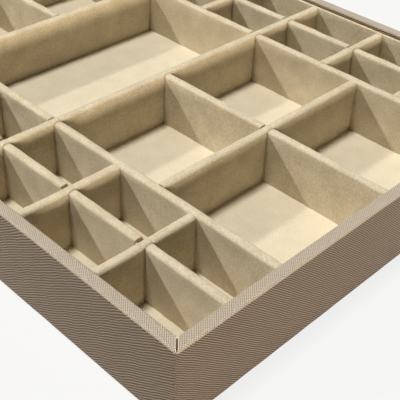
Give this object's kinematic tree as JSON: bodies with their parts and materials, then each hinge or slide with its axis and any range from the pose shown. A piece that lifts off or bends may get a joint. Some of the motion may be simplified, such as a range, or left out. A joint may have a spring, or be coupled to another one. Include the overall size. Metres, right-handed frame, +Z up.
{
  "type": "jewelry tray",
  "caption": "Rectangular open jewelry tray with leatherette-wrapped walls and a velvet-covered egg-crate grid of small, square and wide sections.",
  "frame": {"origin": "centre of the base, on the surface the felt rests on", "axes": "+X along the tray's length, +Y across it, +Z up; the long front wall faces -Y"},
  "size_m": [0.4398, 0.305, 0.0478],
  "materials": {
    "leatherette": "cross-grain embossed leatherette, satin, taupe",
    "velvet": "short-pile velvet, cream",
    "divider_board": "raw brown board",
    "fibreboard": "raw medium-density fibreboard",
    "card": "grey card",
    "foam": "thin sheet foam",
    "felt": "flat felt, cream"
  },
  "bodies": {
    "root": {"base_felt": "felt", "base_panel": "card", "base_board": "fibreboard", "wall_front": "fibreboard", "wall_right": "fibreboard", "wall_back": "fibreboard", "wall_left": "fibreboard", "leatherette_wrap": "leatherette", "floor_foam": "foam", "floor_velvet": "velvet", "liner_front_card": "card", "liner_front_velvet": "velvet", "liner_right_card": "card", "liner_right_velvet": "velvet", "liner_back_card": "card", "liner_back_velvet": "velvet", "liner_left_card": "card", "liner_left_velvet": "velvet", "divider_front_outer_board": "divider_board", "divider_front_outer_velvet": "velvet", "divider_front_inner_board": "divider_board", "divider_front_inner_velvet": "velvet", "divider_back_inner_board": "divider_board", "divider_back_inner_velvet": "velvet", "divider_back_outer_board": "divider_board", "divider_back_outer_velvet": "velvet", "divider_cross_left_board": "divider_board", "divider_cross_left_velvet": "velvet", "divider_cross_right_board": "divider_board", "divider_cross_right_velvet": "velvet", "divider_middle_left_board": "divider_board", "divider_middle_left_velvet": "velvet", "divider_middle_right_board": "divider_board", "divider_middle_right_velvet": "velvet", "divider_square_left_board": "divider_board", "divider_square_left_velvet": "velvet", "divider_square_right_board": "divider_board", "divider_square_right_velvet": "velvet", "divider_front_row_1_board": "divider_board", "divider_front_row_1_velvet": "velvet", "divider_front_row_2_board": "divider_board", "divider_front_row_2_velvet": "velvet", "divider_front_row_3_board": "divider_board", "divider_front_row_3_velvet": "velvet", "divider_front_row_4_board": "divider_board", "divider_front_row_4_velvet": "velvet", "divider_front_row_5_board": "divider_board", "divider_front_row_5_velvet": "velvet", "divider_back_row_1_board": "divider_board", "divider_back_row_1_velvet": "velvet", "divider_back_row_2_board": "divider_board", "divider_back_row_2_velvet": "velvet", "divider_back_row_3_board": "divider_board", "divider_back_row_3_velvet": "velvet", "divider_back_row_4_board": "divider_board", "divider_back_row_4_velvet": "velvet", "divider_back_row_5_board": "divider_board", "divider_back_row_5_velvet": "velvet"}
  },
  "joints": []
}
